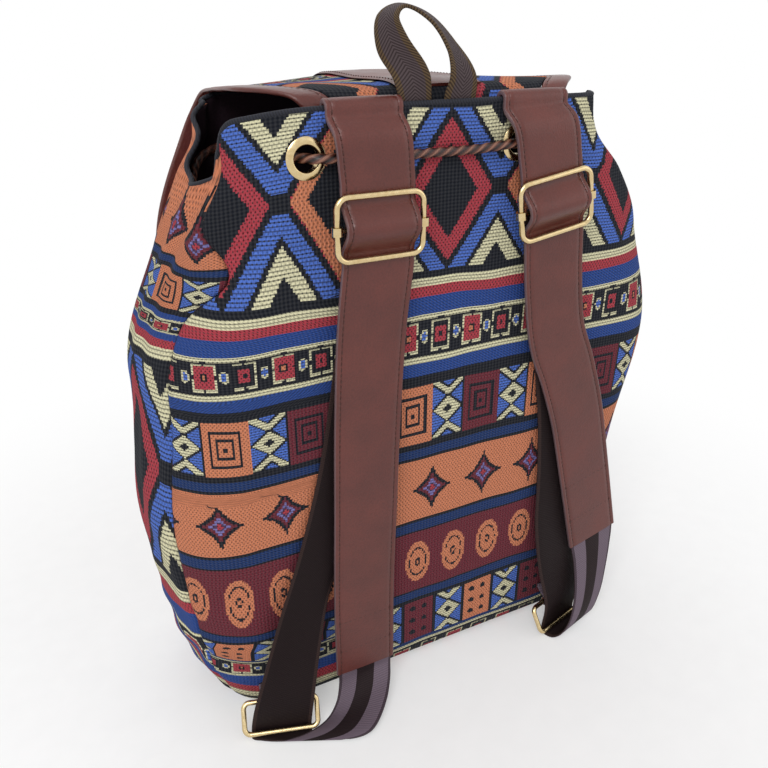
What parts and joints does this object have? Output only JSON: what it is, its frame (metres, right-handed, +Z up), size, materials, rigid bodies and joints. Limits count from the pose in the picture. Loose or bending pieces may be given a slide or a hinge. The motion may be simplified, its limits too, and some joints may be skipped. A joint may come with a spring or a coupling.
{
  "type": "canvas backpack",
  "caption": "Soft canvas drawstring backpack with a flap, two adjustable shoulder straps on wire sliders and rings, and a webbing grab handle.",
  "frame": {"origin": "middle of the bag's bottom face, on the floor it stands on", "axes": "+Z up, -Y out of the back that is worn against the body, +X to the right for someone who looks at that back"},
  "size_m": [0.3681, 0.1906, 0.4304],
  "materials": {
    "canvas": "woven, matt",
    "lining": "matt",
    "leather": "satin",
    "webbing": "woven, slight sheen",
    "brass": "polished",
    "cord": "satin twist",
    "plastic": "satin"
  },
  "bodies": {
    "bag": {"back_panel": "canvas", "front_panel": "canvas", "left_side_panel": "canvas", "right_side_panel": "canvas", "bottom_panel": "canvas", "flap": "canvas", "lining": "lining", "flap_border": "leather", "flap_strap": "leather", "left_strap_leather": "leather", "right_strap_leather": "leather", "left_strap_webbing": "webbing", "right_strap_webbing": "webbing", "handle": "webbing", "left_ring_tab": "webbing", "right_ring_tab": "webbing", "left_slider_bar": "brass", "right_slider_bar": "brass", "eyelet_back_left": "brass", "eyelet_back_right": "brass", "eyelet_front_left": "brass", "eyelet_front_right": "brass", "snap_front_half": "brass", "snap_flap_half": "brass", "drawstring": "cord", "drawstring_knot_left": "cord", "drawstring_knot_right": "cord", "cord_lock_body": "plastic"},
    "left_slider": {"left_slider_frame": "brass"},
    "right_slider": {"right_slider_frame": "brass"},
    "left_ring": {"left_ring": "brass"},
    "right_ring": {"right_ring": "brass"},
    "lock_button": {"cord_lock_button": "plastic"}
  },
  "joints": [
    {"name": "left_slider_slide", "type": "slide", "parent": "bag", "child": "left_slider", "axis": [0, 0, 1], "range_m": [-0.0012, 0.0012]},
    {"name": "right_slider_slide", "type": "slide", "parent": "bag", "child": "right_slider", "axis": [0.1564, 0, -0.9877], "range_m": [-0.0012, 0.0012]},
    {"name": "left_ring_hinge", "type": "hinge", "parent": "bag", "child": "left_ring", "pos_m": [-0.11771, -0.07175, 0.02046], "axis": [0.9563, -0.2924, 0], "range_deg": [-2.5, 2.5]},
    {"name": "right_ring_hinge", "type": "hinge", "parent": "bag", "child": "right_ring", "pos_m": [0.10346, -0.07253, 0.02137], "axis": [0.9659, 0.2588, 0], "range_deg": [-2.5, 2.5]},
    {"name": "cord_lock_press", "type": "slide", "parent": "bag", "child": "lock_button", "axis": [1, 0, 0], "range_m": [-0.003, 0], "stiffness_N_per_m": 250, "springref_m": 0.003}
  ]
}
